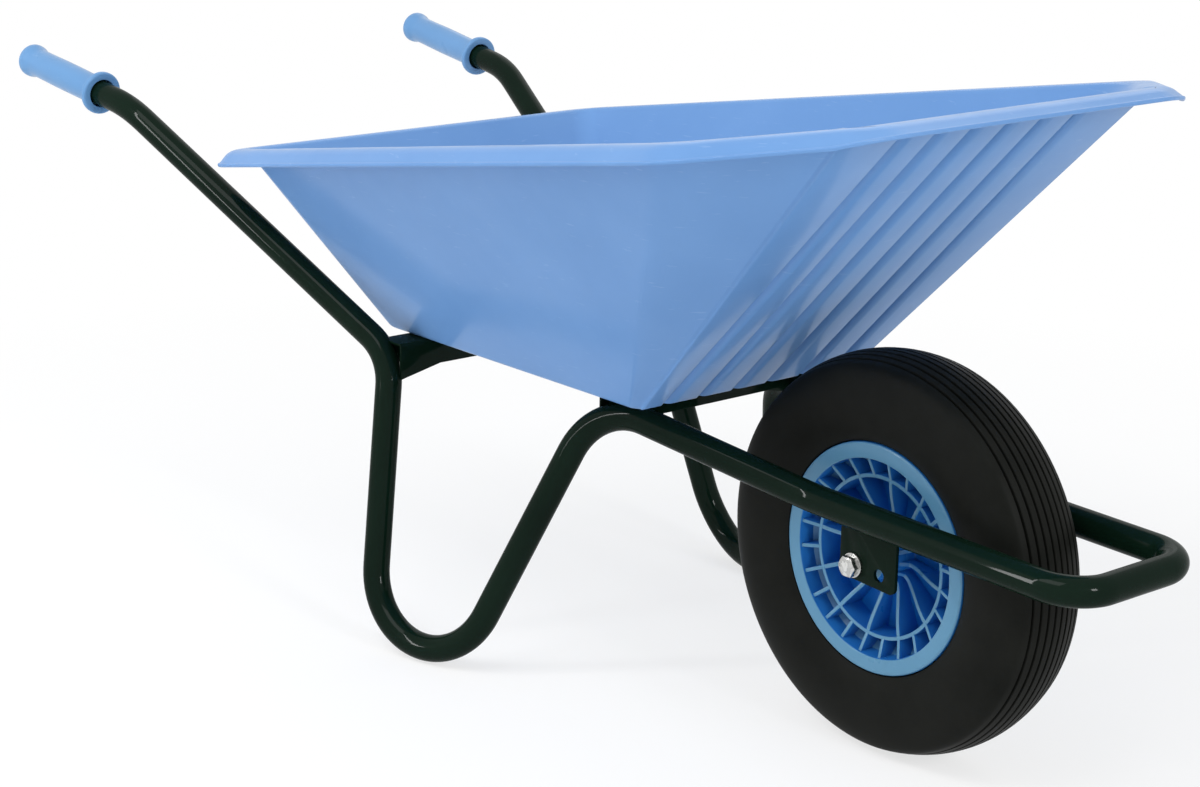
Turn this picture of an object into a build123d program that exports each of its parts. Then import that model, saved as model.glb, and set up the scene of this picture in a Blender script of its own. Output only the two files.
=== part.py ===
from build123d import *
from math import asin, atan2, cos, radians, sin, sqrt
import os

# A one-wheeled garden barrow: a moulded tray on a frame bent from one long tube.
# Millimetres. +X points forward to the wheel, +Y to the left, +Z up, and the ground is at zero.
# Places along the barrow are measured from the axle, and heights called a rise from the axle line.

# Wheel sizes
tyre_diameter = 395.0
tyre_width = 94.0
tread_half_width = 39.0
tread_drop = 9.0
sidewall_thickness = 5.5
tread_thickness = 11.0
tread_groove_count = 8
tread_groove_pitch = 8.6
tread_groove_width = 2.6
tread_groove_depth = 3.0
bead_radius = 101.5
bead_width = 11.0
bead_height = 7.0
rim_inside_width = 63.5
rim_flange_radius = 114.0
rim_flange_thickness = 7.2
rim_flange_edge = 1.5
rim_pocket_radius = 98.0
rim_well_radius = 95.0
rim_well_half_width = 13.0
rim_barrel_wall = 4.0
web_thickness = 5.0
ring_rib_radius = 79.5
ring_rib_thickness = 3.0
ring_rib_recess = 9.5
hub_rib_recess = 16.0
vane_edge = [(28.0, 25.0), (38.0, 22.5), (50.0, 17.6), (63.0, 12.6)]
pocket_rib_recess = 2.0
vane_count = 12
vane_thickness = 3.2
pocket_rib_thickness = 2.6
vane_phase = 22.5
hub_radius = 22.0
hub_draft = 2.0
inner_tube_wall = 2.2
valve_offset = 7.0
valve_stem_radius = 3.8
valve_stem_bend = 7.0
valve_run_radius = 86.0
valve_cap_radius = 4.6
valve_cap_length = 9.0
valve_angle = 105.0

# Axle sizes
axle_diameter = 12.0
axle_head_across_flats = 19.0
axle_head_height = 8.0
axle_nut_height = 10.0
axle_thread_past_nut = 4.0
axle_washer_radius = 12.0
axle_washer_thickness = 2.5
bush_outer_radius = 9.0
bush_length = 24.0
bush_flange_radius = 13.5
bush_flange_thickness = 3.0
spacer_length = 12.0
spacer_outer_radius = 10.0
hexagon_corner_chamfer = 1.2

# Frame tube sizes and bends
tube_diameter = 28.6
tube_wall = 1.6
nose_reach = 279.0
nose_rise = 51.3
rail_half_gap = 78.5
rail_bend_back = 44.0
rail_bend_rise = 58.2
front_bend_back = 306.3
front_bend_half = 124.6
deck_rise = 102.5
foot_back = 480.8
foot_corner_half = 305.3
rear_bend_back = 577.4
rear_bend_half = 188.2
handle_bend_back = 972.7
handle_bend_half = 271.6
handle_bend_rise = 325.1
handle_end_back = 1190.1
handle_end_half = 282.7
handle_end_rise = 355.7
nose_bend_radius = 40.0
rail_bend_radius = 160.0
front_bend_radius = 75.0
foot_bend_radius = 81.0
rear_bend_radius = 65.0
handle_bend_radius = 140.0

# Grip sizes
grip_length = 163.0
grip_end_wall = 14.0
grip_end_radius = 19.5
grip_bulge_length = 11.0
grip_waist_radius = 16.6
grip_body_radius = 17.0
grip_collar_radius = 24.8
grip_collar_thickness = 7.0
grip_collar_edge = 2.0
grip_mouth_radius = 16.0
grip_mouth_depth = 14.0

# Cross brace and axle bracket sizes
brace_width = 40.0
brace_height = 28.0
brace_thickness = 2.5
brace_corner_radius = 4.0
brace_flare_length = 52.0
brace_flare_depth = 11.0
rear_brace_back = 578.0
front_brace_back = 284.0
bracket_thickness = 4.0
bracket_behind_axle = 18.0
bracket_ahead_of_axle = 54.0
bracket_below_axle = 13.0
bracket_toe_drop = 4.0
bracket_corner_radius = 7.0
spare_hole_ahead = 33.0
spare_hole_drop = 2.0
spare_hole_radius = 6.25

# Tray sizes
tray_wall = 4.0
floor_rear_back = 638.7
floor_front_back = 214.3
floor_half_width = 154.0
side_lean = 27.0
rear_lean = 37.5
front_lean = 44.15
rim_tilt = 9.18
rim_height_behind = 207.0
shoulder_back = 42.0
front_top_half = 199.0
floor_corner_cut = 11.0
front_panel_rise = 3.0
rim_corner_radius = 28.0
rim_shoulder_radius = 60.0
floor_corner_radius = 22.0
floor_shoulder_radius = 13.0
front_fold_radius = 13.0
floor_edge_radius = 18.0
rim_flange_width = 31.0
rim_lip_depth = 18.0
rim_roll_radius = 10.0
groove_count = 6
groove_pitch = 46.5
groove_mouth = 22.0
groove_bottom = 5.0
groove_depth = 7.0
groove_edge_angle = 12.0
groove_top_gap = 16.0

# Tray fastener sizes
tray_bolt_diameter = 8.0
tray_bolt_head_radius = 10.0
tray_bolt_head_height = 4.5
tray_washer_radius = 13.0
tray_washer_thickness = 1.6
tray_nut_across_flats = 13.0
tray_nut_height = 6.5
tray_thread_past_nut = 3.0
rear_bolt_half = 95.0
front_bolt_half = 68.0

# Clearances
running_clearance = 0.05
axle_end_play = 0.3
hole_clearance = 0.25
thread_clearance = 0.1
weld_gap = 0.2
grip_clearance = 0.15
bead_clearance = 0.15
press_clearance = 0.03
tray_seat_rise = 0.4
inner_tube_clearance = 0.4
valve_hole_clearance = 0.8

# Sizes worked out from those above
tyre_radius = tyre_diameter / 2
axle_height = tyre_radius
tube_radius = tube_diameter / 2
axle_radius = axle_diameter / 2
deck_height = axle_height + deck_rise
floor_height = deck_height + tube_radius + tray_seat_rise
bracket_outer = rail_half_gap - tube_radius - weld_gap
bracket_inner = bracket_outer - bracket_thickness
bush_face = bracket_inner - spacer_length - axle_end_play
hub_half_length = bush_face - bush_flange_thickness
rim_inside_half = rim_inside_width / 2
rim_face = rim_inside_half + rim_flange_thickness
tyre_bead_radius = bead_radius + bead_clearance
tyre_bead_face = rim_inside_half - bead_clearance
front_bottom_half = floor_half_width - floor_corner_cut
tray_bolt_radius = tray_bolt_diameter / 2
tray_bolt_places = [
    (-back, side * half)
    for back, half in ((rear_brace_back, rear_bolt_half), (front_brace_back, front_bolt_half))
    for side in (-1, 1)
]


def at_axle(solid):
    """A piece drawn about the origin, put on the axle line."""
    return Pos(0, 0, axle_height) * solid


def left_of(solid):
    """The mirror image of a right-hand piece."""
    return mirror(solid, about=Plane.XZ)


def spun(*points):
    """A solid of revolution about Y from points given as radius and distance along Y."""
    return revolve(make_face(Polyline(*points, close=True)), Axis.Y)


def spun_pair(*points):
    """A solid of revolution, the same on both sides of the wheel's middle plane."""
    other = [(radius, -along) for radius, along in reversed(points)]
    return spun(*points, *other)


def ring(outer, inner, low, high):
    """A plain ring along Y."""
    return spun((inner, low), (outer, low), (outer, high), (inner, high))


def hexagon(across_flats, height):
    """A hexagonal head standing on the XY plane, its upper corners turned off."""
    prism = extrude(RegularPolygon(across_flats / 2, 6, major_radius=False), height)
    corner = across_flats / sqrt(3)
    turned = Cylinder(corner, height, align=(Align.CENTER, Align.CENTER, Align.MIN))
    turned = chamfer(turned.edges().sort_by(Axis.Z)[-1], hexagon_corner_chamfer, 2 * hexagon_corner_chamfer)
    return prism & turned


# Frame tube

def foot_corner(rear_bend, front_bend):
    """Corner of the leg's U, lowered until the underside of its bend stands on the ground."""
    corner = Vector(-foot_back, -foot_corner_half, -axle_height)
    for _ in range(60):
        to_rear = (rear_bend - corner).normalized()
        to_front = (front_bend - corner).normalized()
        normal = to_rear.cross(to_front).normalized()
        half_angle = radians(to_rear.get_angle(to_front) / 2)
        bisector = (to_rear + to_front).normalized()
        centre = corner + bisector * (foot_bend_radius / sin(half_angle))
        lowest = centre.Z - foot_bend_radius * sqrt(1 - normal.Z ** 2) - tube_radius
        corner = corner - Vector(0, 0, lowest)
    return corner


def handle_points():
    """Outer end of the right grip and the handle bend ahead of it."""
    end = Vector(-handle_end_back, -handle_end_half, axle_height + handle_end_rise)
    bend = Vector(-handle_bend_back, -handle_bend_half, axle_height + handle_bend_rise)
    return end, bend


def frame_path():
    """Centre line of the whole tube, from the right grip round the nose to the left grip."""
    end, bend = handle_points()
    start = end + (bend - end).normalized() * grip_end_wall
    rear = Vector(-rear_bend_back, -rear_bend_half, deck_height)
    front = Vector(-front_bend_back, -front_bend_half, deck_height)
    foot = foot_corner(rear, front)
    rail = Vector(-rail_bend_back, -rail_half_gap, axle_height + rail_bend_rise)
    nose = Vector(nose_reach, -rail_half_gap, axle_height + nose_rise)
    right = [start, bend, rear, foot, front, rail, nose]
    left = [Vector(p.X, -p.Y, p.Z) for p in reversed(right)]
    bends = [handle_bend_radius, rear_bend_radius, foot_bend_radius]
    bends += [front_bend_radius, rail_bend_radius, nose_bend_radius]
    return FilletPolyline(*right, *left, radius=bends + bends[::-1])


def bar_along(path, radius):
    """A round bar swept along a centre line."""
    return sweep(Plane(path @ 0, z_dir=path % 0) * Circle(radius), path=path)


# Grips

def make_grip():
    """Right-hand grip: a bulged closed end, a slim body and a collar, bored to push on the tube."""
    end, bend = handle_points()
    collar_back = grip_length - grip_collar_thickness
    bore_radius = tube_radius + grip_clearance
    mouth_back = grip_length - grip_mouth_depth
    dome = Spline((0, 0), (grip_end_radius, grip_bulge_length), tangents=((1, 0), (0, 1)))
    flank = Spline(
        dome @ 1,
        (grip_waist_radius, 2.5 * grip_bulge_length),
        (grip_body_radius, grip_length / 2),
        (grip_waist_radius, collar_back),
        tangents=((0, 1), (0, 1)),
    )
    collar = Polyline(
        flank @ 1,
        (grip_collar_radius, collar_back),
        (grip_collar_radius, grip_length - grip_collar_edge),
        (grip_collar_radius - grip_collar_edge, grip_length),
        (grip_mouth_radius, grip_length),
        (grip_mouth_radius, mouth_back),
        (bore_radius, mouth_back - grip_mouth_depth / 4),
        (bore_radius, grip_end_wall),
        (0, grip_end_wall),
        (0, 0),
    )
    body = revolve(make_face([dome, flank, collar]), Axis.Y)
    return Plane(end, z_dir=bend - end).location * Rot(90, 0, 0) * body


# Cross braces

def make_brace(back, half_length, tube_space):
    """A pressed channel, open below, with deeper flanks at its ends, which fit round the tube."""
    left = -back - brace_width / 2
    right = -back + brace_width / 2
    waist = floor_height - brace_height
    low = waist - brace_flare_depth
    skin = brace_thickness
    section = make_face(Polyline(
        (left, low),
        (left, floor_height),
        (right, floor_height),
        (right, low),
        (right - skin, low),
        (right - skin, floor_height - skin),
        (left + skin, floor_height - skin),
        (left + skin, low),
        close=True,
    ))
    section = fillet(section.vertices().group_by(Axis.Y)[-1], brace_corner_radius)
    straight = half_length - brace_flare_length
    flank = make_face(Polyline(
        (-half_length, low),
        (-straight, waist),
        (straight, waist),
        (half_length, low),
        (half_length, floor_height),
        (-half_length, floor_height),
        close=True,
    ))
    channel = extrude(Plane.XZ * section, half_length, both=True)
    channel = channel & extrude(Plane.YZ * flank, -2 * back) - tube_space
    channel = channel.solids().sort_by(SortBy.VOLUME)[-1]
    holes = Sketch() + [
        Pos(x, y) * Circle(tray_bolt_radius + hole_clearance) for x, y in tray_bolt_places
    ]
    return channel - extrude(Plane.XY.offset(low) * holes, 2 * brace_height)


# Axle brackets

def rail_rise(x):
    """Rise of the rail's centre line above the axle at a place along it."""
    slope = (nose_rise - rail_bend_rise) / (nose_reach + rail_bend_back)
    return rail_bend_rise + slope * (x + rail_bend_back)


def make_bracket():
    """Right-hand bracket: a plate hung from the rail, with the axle hole and a spare hole."""
    outline = make_face(Polyline(
        (-bracket_behind_axle, rail_rise(-bracket_behind_axle)),
        (bracket_ahead_of_axle, rail_rise(bracket_ahead_of_axle)),
        (bracket_ahead_of_axle, -bracket_below_axle - bracket_toe_drop),
        (-bracket_behind_axle, -bracket_below_axle),
        close=True,
    ))
    outline = fillet(outline.vertices().group_by(Axis.Y)[0], bracket_corner_radius)
    outline = fillet(outline.vertices().filter_by(
        lambda v: abs(v.Y + bracket_below_axle) < 0.01), bracket_corner_radius)
    outline = outline - Circle(axle_radius + hole_clearance)
    outline = outline - Pos(spare_hole_ahead, -spare_hole_drop) * Circle(spare_hole_radius)
    plate = extrude(Plane.XZ.offset(bracket_inner) * outline, bracket_thickness)
    return at_axle(plate)


# Tray

def tray_walls(inset, proud):
    """Planes of the rear, side, shoulder and front walls on the right, moved in by the inset."""
    rear = Plane(
        (-floor_rear_back, 0, floor_height),
        z_dir=(-cos(radians(rear_lean)), 0, -sin(radians(rear_lean))),
    )
    side = Plane(
        (0, -floor_half_width, floor_height),
        z_dir=(0, -cos(radians(side_lean)), -sin(radians(side_lean))),
    )
    front = Plane(
        (-floor_front_back, 0, floor_height),
        z_dir=(cos(radians(front_lean)), 0, -sin(radians(front_lean))),
    )
    low = Vector(-floor_front_back, -front_bottom_half, floor_height)
    high = meet(front, rim_plane(), Plane((0, -front_top_half, 0), z_dir=(0, 1, 0)))
    back = meet(side, rim_plane(), Plane((-shoulder_back, 0, 0), z_dir=(1, 0, 0)))
    shoulder = Plane(low, z_dir=(high - low).cross(back - low))
    if shoulder.z_dir.Y > 0:
        shoulder = Plane(low, z_dir=shoulder.z_dir * -1)
    return [rear.offset(-inset), side.offset(-inset), shoulder.offset(-inset), front.offset(proud - inset)]


def rim_plane():
    """The plane across the top of the rim, higher at the front."""
    behind = (-floor_rear_back, 0, floor_height + rim_height_behind)
    return Plane(behind, z_dir=(-sin(radians(rim_tilt)), 0, cos(radians(rim_tilt))))


def meet(first, second, third):
    """The point three planes share."""
    crosses = [
        second.z_dir.cross(third.z_dir) * first.origin.dot(first.z_dir),
        third.z_dir.cross(first.z_dir) * second.origin.dot(second.z_dir),
        first.z_dir.cross(second.z_dir) * third.origin.dot(third.z_dir),
    ]
    scale = first.z_dir.dot(second.z_dir.cross(third.z_dir))
    return (crosses[0] + crosses[1] + crosses[2]) * (1 / scale)


def tray_outline(level, inset, proud, corner, shoulder_bend, fold_bend):
    """Rounded outline of the walls where they cross a level plane."""
    rear, side, shoulder, front = tray_walls(inset, proud)
    right = [meet(level, rear, side), meet(level, side, shoulder), meet(level, shoulder, front)]
    left = [Vector(p.X, -p.Y, p.Z) for p in reversed(right)]
    bends = [corner, shoulder_bend, fold_bend]
    return FilletPolyline(*right, *left, radius=bends + bends[::-1], close=True)


def tray_form(inset, proud, above):
    """The tray as a filled form, its walls and floor moved in by the inset."""
    floor = Plane((0, 0, floor_height + inset), z_dir=(0, 0, 1))
    mouth = rim_plane().offset(above)
    bottom = tray_outline(floor, inset, proud, floor_corner_radius, floor_shoulder_radius, front_fold_radius)
    top = tray_outline(mouth, inset, proud, rim_corner_radius, rim_shoulder_radius, front_fold_radius)
    form = loft([make_face(bottom), make_face(top)], ruled=True)
    return fillet(form.faces().sort_by(Axis.Z)[0].edges(), floor_edge_radius - inset)


def front_plane():
    """Plane of the front panel's raised face: its own x to the left and its own y up the slope."""
    front = tray_walls(0, front_panel_rise)[3]
    return Plane(front.origin, x_dir=(0, 1, 0), z_dir=front.z_dir)


def front_slope():
    """Length of the front wall up its slope, from the floor to the rim."""
    top = meet(tray_walls(0, 0)[3], rim_plane(), Plane.XZ)
    return (top.Z - floor_height) / cos(radians(front_lean))


def front_panel_space():
    """The space between the two fold lines that bound the raised front panel."""
    slope = front_slope()
    widening = (front_top_half - front_bottom_half) / slope
    low = front_bottom_half - widening * groove_depth
    high = front_bottom_half + widening * 2 * slope
    face = make_face(Polyline(
        (-low, -groove_depth), (low, -groove_depth), (high, 2 * slope), (-high, 2 * slope), close=True))
    return extrude(front_plane() * face, 4 * groove_depth, both=True)


def groove_section(inset):
    """One groove, seen along it, between the rounded sides of two ribs and drawn in by the inset."""
    mouth = groove_mouth / 2
    bottom = groove_bottom / 2
    outside = groove_depth
    deep = groove_depth + inset
    first = radians(groove_edge_angle)
    last = 2 * atan2(groove_depth, mouth - bottom) - first
    rounding = groove_depth / (cos(first) - cos(last))
    across, down = mouth + rounding * sin(first), rounding * cos(first)
    side = [
        (across - (rounding - inset) * sin(turn), down - (rounding - inset) * cos(turn))
        for turn in (first / 2, (first + last) / 2, last)
    ]
    right = ThreePointArc(*side)
    left = mirror(right, about=Plane.YZ)
    wide = side[0][0]
    narrow = side[2][0]
    opening = Polyline(right @ 0, (wide, -outside), (-wide, -outside), left @ 0)
    throat = Pos(0, (deep - outside) / 2) * Rectangle(2 * narrow, deep + outside)
    return make_face([opening, left, Line(left @ 1, right @ 1), right]) + throat


def grooves(inset):
    """The front panel's parallel grooves; with an inset, the same grooves grown by the wall."""
    start = Plane(front_plane().origin, x_dir=(0, 1, 0), z_dir=front_plane().y_dir)
    below = 4 * groove_depth
    places = [groove_pitch * (i - (groove_count - 1) / 2) for i in range(groove_count)]
    section = Sketch() + [Pos(y, 0) * groove_section(inset) for y in places]
    return extrude(start.offset(-below) * section, below + front_slope() - groove_top_gap + inset)


def tray_rim():
    """The rolled rim: a flange turned out and down, swept round the tray's mouth."""
    path = tray_outline(rim_plane(), 0, 0, rim_corner_radius, rim_shoulder_radius, rim_shoulder_radius)
    behind = meet(tray_walls(0, 0)[0], rim_plane(), Plane.XZ)
    outward = (-cos(radians(rim_tilt)), 0, -sin(radians(rim_tilt)))
    start = Plane(behind, x_dir=outward, z_dir=(0, 1, 0))
    wide = rim_flange_width
    deep = rim_lip_depth
    wall = tray_wall
    section = make_face(Polyline(
        (-2 * wall, 0), (wide, 0), (wide, -deep), (wide - wall, -deep),
        (wide - wall, -wall), (-2 * wall, -wall), close=True))
    outer = section.vertices().sort_by_distance((wide, 0))[0]
    section = fillet(outer, rim_roll_radius)
    inner = section.vertices().sort_by_distance((wide - wall, -wall))[0]
    section = fillet(inner, rim_roll_radius - wall)
    return sweep(start * section, path=path)


def make_tray():
    """The moulded tray: walls, raised and grooved front panel, rolled rim and bolt holes."""
    form = tray_form(0, 0, 0) + (tray_form(0, front_panel_rise, 0) & front_panel_space())
    form = form - grooves(0) + tray_rim()
    hollow = tray_form(tray_wall, 0, rim_lip_depth) - grooves(tray_wall)
    holes = Sketch() + [
        Pos(x, y) * Circle(tray_bolt_radius + hole_clearance) for x, y in tray_bolt_places
    ]
    drilled = extrude(Plane.XY.offset(floor_height - tray_wall) * holes, 4 * tray_wall)
    return form - hollow - drilled


# Tray fasteners

def make_tray_bolts():
    """Four cup-head bolts through the tray floor and the braces."""
    under_head = floor_height + tray_wall + tray_washer_thickness
    tip = floor_height - brace_thickness - tray_nut_height - tray_thread_past_nut
    sphere = (tray_bolt_head_radius ** 2 + tray_bolt_head_height ** 2) / (2 * tray_bolt_head_height)
    half_turn = asin(tray_bolt_head_radius / sphere) / 2
    cup = ThreePointArc(
        (tray_bolt_head_radius, 0),
        (sphere * sin(half_turn), tray_bolt_head_height - sphere * (1 - cos(half_turn))),
        (0, tray_bolt_head_height),
    )
    shank = Polyline(
        cup @ 1, (0, tip - under_head), (tray_bolt_radius, tip - under_head), (tray_bolt_radius, 0), cup @ 0)
    bolt = Rot(90, 0, 0) * revolve(make_face([cup, shank]), Axis.Y)
    return Compound(children=[Pos(x, y, under_head) * bolt for x, y in tray_bolt_places])


def make_tray_washers():
    """A washer under each bolt head."""
    hole = Circle(tray_bolt_radius + hole_clearance)
    washer = extrude(Circle(tray_washer_radius) - hole, tray_washer_thickness)
    return Compound(children=[Pos(x, y, floor_height + tray_wall) * washer for x, y in tray_bolt_places])


def make_tray_nuts():
    """A nut on each bolt, under the brace."""
    low = floor_height - brace_thickness
    nut = hexagon(tray_nut_across_flats, tray_nut_height)
    nut = nut - Cylinder(tray_bolt_radius + thread_clearance, 3 * tray_nut_height)
    return Compound(children=[Pos(x, y, low) * Rot(180, 0, 0) * nut for x, y in tray_bolt_places])


# Axle

def make_axle_bolt():
    """The axle: a hexagon bolt whose head is on the right."""
    head_seat = bracket_outer + axle_washer_thickness
    tip = head_seat + axle_nut_height + axle_thread_past_nut
    shank = spun((0, -head_seat), (axle_radius, -head_seat), (axle_radius, tip), (0, tip))
    head = Pos(0, -head_seat, 0) * Rot(90, 0, 0) * hexagon(axle_head_across_flats, axle_head_height)
    return at_axle(shank + head)


def make_axle_nut():
    """The nut at the left end of the axle."""
    nut = hexagon(axle_head_across_flats, axle_nut_height)
    nut = nut - Cylinder(axle_radius + thread_clearance, 3 * axle_nut_height)
    return at_axle(Pos(0, bracket_outer + axle_washer_thickness, 0) * Rot(-90, 0, 0) * nut)


def make_axle_washers():
    """A washer outside each bracket."""
    washer = ring(
        axle_washer_radius, axle_radius + hole_clearance, bracket_outer, bracket_outer + axle_washer_thickness)
    return Compound(children=[at_axle(washer), at_axle(left_of(washer))])


def make_left_spacer():
    """The tube that holds the wheel off the bracket on the left."""
    low = bracket_inner - spacer_length
    return at_axle(ring(spacer_outer_radius, axle_radius + hole_clearance, low, bracket_inner))


# Wheel

def make_left_bush():
    """A flanged plain bearing in the left end of the hub."""
    bore = axle_radius + running_clearance
    body = bush_outer_radius - press_clearance
    deep = hub_half_length - bush_length
    return at_axle(spun(
        (bore, deep), (body, deep), (body, hub_half_length), (bush_flange_radius, hub_half_length),
        (bush_flange_radius, bush_face), (bore, bush_face)))


def rib_pattern():
    """Ring rib, vanes and pocket ribs seen from the side of the wheel."""
    half = ring_rib_thickness / 2
    pattern = Circle(ring_rib_radius + half) - Circle(ring_rib_radius - half)
    vane_root = hub_radius - hub_draft
    rib_end = rim_pocket_radius + rim_flange_edge
    vane = Pos((vane_root + ring_rib_radius) / 2, 0) * Rectangle(ring_rib_radius - vane_root, vane_thickness)
    rib = Pos((ring_rib_radius + rib_end) / 2, 0) * Rectangle(rib_end - ring_rib_radius, pocket_rib_thickness)
    step = 360 / vane_count
    vanes = [Rot(0, 0, vane_phase + i * step) * vane for i in range(vane_count)]
    ribs = [Rot(0, 0, vane_phase + i * step / 2) * rib for i in range(2 * vane_count)]
    return pattern + vanes + ribs


def valve_line(outer, inner, along):
    """A line in through the rim at the valve, turned to run out along the pocket."""
    away = Vector(cos(radians(valve_angle)), 0, sin(radians(valve_angle)))
    across = Vector(0, 1, 0)
    corner = away * inner + across * valve_offset
    if along <= valve_offset:
        return Line(away * outer + across * valve_offset, corner)
    return FilletPolyline(
        away * outer + across * valve_offset, corner, away * inner + across * along, radius=valve_stem_bend)


def make_wheel_rim():
    """The moulded wheel centre: barrel, flanges, web, hub, ring rib, vanes and pocket ribs."""
    edge = rim_flange_edge
    half_web = web_thickness / 2
    well_inside = rim_well_radius - rim_barrel_wall
    seat_end = rim_inside_half - bead_width - edge
    body = spun_pair(
        (bush_outer_radius, hub_half_length),
        (hub_radius - hub_draft, hub_half_length),
        (hub_radius, half_web),
        (well_inside, half_web),
        (well_inside, rim_well_half_width + edge),
        (bead_radius - rim_barrel_wall, seat_end + edge),
        (rim_pocket_radius, rim_face),
        (rim_flange_radius - edge, rim_face),
        (rim_flange_radius, rim_face - edge),
        (rim_flange_radius, rim_inside_half + edge),
        (rim_flange_radius - edge, rim_inside_half),
        (bead_radius, rim_inside_half),
        (bead_radius, seat_end),
        (rim_well_radius, rim_well_half_width),
    )
    dish = spun_pair(
        (hub_radius - hub_draft, rim_face - hub_rib_recess),
        *[(radius, rim_face - recess) for radius, recess in vane_edge],
        (ring_rib_radius - ring_rib_thickness / 2, rim_face - ring_rib_recess),
        (ring_rib_radius + ring_rib_thickness / 2, rim_face - ring_rib_recess),
        (rim_pocket_radius + edge, rim_face - pocket_rib_recess),
    )
    ribs = extrude(Plane.XZ * rib_pattern(), rim_face, both=True) & dish
    bored = bar_along(
        valve_line(bead_radius, valve_run_radius, 0), valve_stem_radius + valve_hole_clearance)
    return at_axle(body + ribs - bored)


def air_space(inset):
    """Outline of the space inside the tyre, drawn in by the inset, as radius and distance along Y."""
    half = tyre_width / 2 - sidewall_thickness - inset
    middle = (tyre_bead_radius + tyre_radius) / 2
    crown = tyre_radius - tread_thickness - inset
    shoulder = tyre_radius - tread_thickness - tread_drop - inset
    low = tyre_bead_radius + bead_height + inset
    near = tyre_bead_face - bead_width - inset
    edge = tread_half_width - sidewall_thickness - inset
    wall = ThreePointArc((low, near), (middle, half), (shoulder, edge))
    roof = ThreePointArc((shoulder, edge), (crown, 0), (shoulder, -edge))
    return make_face([wall, roof, mirror(wall, about=Plane.XZ), Line((low, -near), (low, near))])


def make_tyre():
    """The pneumatic tyre, ribbed round its tread."""
    neck = (rim_flange_radius + rim_flange_edge, rim_face - rim_flange_edge)
    flank = ThreePointArc(
        neck,
        ((tyre_bead_radius + tyre_radius) / 2, tyre_width / 2),
        (tyre_radius - tread_drop, tread_half_width),
    )
    bead = Polyline(
        (tyre_bead_radius, 0),
        (tyre_bead_radius, tyre_bead_face),
        (rim_flange_radius + bead_clearance, tyre_bead_face),
        neck,
    )
    tread = ThreePointArc(flank @ 1, (tyre_radius, 0), (tyre_radius - tread_drop, -tread_half_width))
    far = mirror(flank, about=Plane.XZ)
    far_bead = mirror(bead, about=Plane.XZ)
    outside = make_face([bead, flank, tread, far, far_bead])
    gap = tyre_bead_face - bead_width
    between = Rectangle(2 * (bead_height + 1), 2 * gap)
    section = outside - air_space(0) - Pos(tyre_bead_radius, 0) * between
    tyre = revolve(section, Axis.Y)
    for i in range(tread_groove_count):
        along = tread_groove_pitch * (i - (tread_groove_count - 1) / 2)
        bottom = tyre_radius - tread_drop * (along / tread_half_width) ** 2 - tread_groove_depth
        half = tread_groove_width / 2
        tyre = tyre - ring(tyre_radius + tread_drop, bottom, along - half, along + half)
    return at_axle(tyre)


def make_inner_tube():
    """The air tube inside the tyre."""
    outside = air_space(inner_tube_clearance)
    inside = air_space(inner_tube_clearance + inner_tube_wall)
    return at_axle(revolve(outside - inside, Axis.Y))


def make_valve_stem():
    """The valve stem, in through the rim and out along a pocket on the left."""
    root = tyre_bead_radius + bead_height + inner_tube_clearance - thread_clearance
    path = valve_line(root, valve_run_radius, rim_face - pocket_rib_recess - thread_clearance)
    return at_axle(bar_along(path, valve_stem_radius))


def make_valve_cap():
    """The cap over the end of the valve stem."""
    tip = rim_face
    inside = valve_stem_radius + thread_clearance
    open_end = tip - valve_cap_length
    closed = tip - pocket_rib_recess
    cap = spun(
        (0, closed), (inside, closed), (inside, open_end), (valve_cap_radius, open_end),
        (valve_cap_radius, tip), (0, tip))
    away = Vector(cos(radians(valve_angle)), 0, sin(radians(valve_angle))) * valve_run_radius
    return at_axle(Pos(*away) * cap)


# All pieces

path = frame_path()
tube_space = bar_along(path, tube_radius + weld_gap)
right_grip = make_grip()
right_bracket = make_bracket()
left_spacer = make_left_spacer()
left_bush = make_left_bush()
pieces = {
    "frame_tube": bar_along(path, tube_radius) - bar_along(path, tube_radius - tube_wall),
    "right_grip": right_grip,
    "left_grip": left_of(right_grip),
    "rear_cross_brace": make_brace(rear_brace_back, rear_bend_half, tube_space),
    "front_cross_brace": make_brace(front_brace_back, front_bend_half, tube_space),
    "right_axle_bracket": right_bracket,
    "left_axle_bracket": left_of(right_bracket),
    "tray": make_tray(),
    "tray_bolts": make_tray_bolts(),
    "tray_washers": make_tray_washers(),
    "tray_nuts": make_tray_nuts(),
    "axle_bolt": make_axle_bolt(),
    "axle_nut": make_axle_nut(),
    "axle_washers": make_axle_washers(),
    "right_axle_spacer": left_of(left_spacer),
    "left_axle_spacer": left_spacer,
    "right_hub_bush": left_of(left_bush),
    "left_hub_bush": left_bush,
    "wheel_rim": make_wheel_rim(),
    "tyre": make_tyre(),
    "inner_tube": make_inner_tube(),
    "valve_stem": make_valve_stem(),
    "valve_cap": make_valve_cap(),
}

# The origin is on the ground under the middle of the barrow's length
rear_end = right_grip.bounding_box().min.X
front_end = nose_reach + tube_radius
shift = Pos(-(rear_end + front_end) / 2, 0, 0)

os.makedirs("parts", exist_ok=True)
for name, solid in pieces.items():
    export_step(shift * solid, f"parts/{name}.step")
    print(name, len(solid.solids()), round(solid.volume / 1000, 1), "cm3")
print("axle x", round(shift.position.X, 4), "floor z", round(floor_height, 2))
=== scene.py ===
# %% [markdown]
# # Dressing a garden barrow
# The solids of this barrow already have the right sizes and move the right way. This lesson gives them
# the soft edges, smooth bends and finishes that a camera sees. Everything is in metres, +X points to
# the wheel, +Z is up and the ground is at zero, so a piece drawn with real sizes needs no fitting.

# %% Load the solids
from math import atan2, cos, degrees, pi, radians, sin, tan

import bmesh
import bpy
from mathutils import Matrix, Vector
from mathutils.geometry import interpolate_bezier


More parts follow.
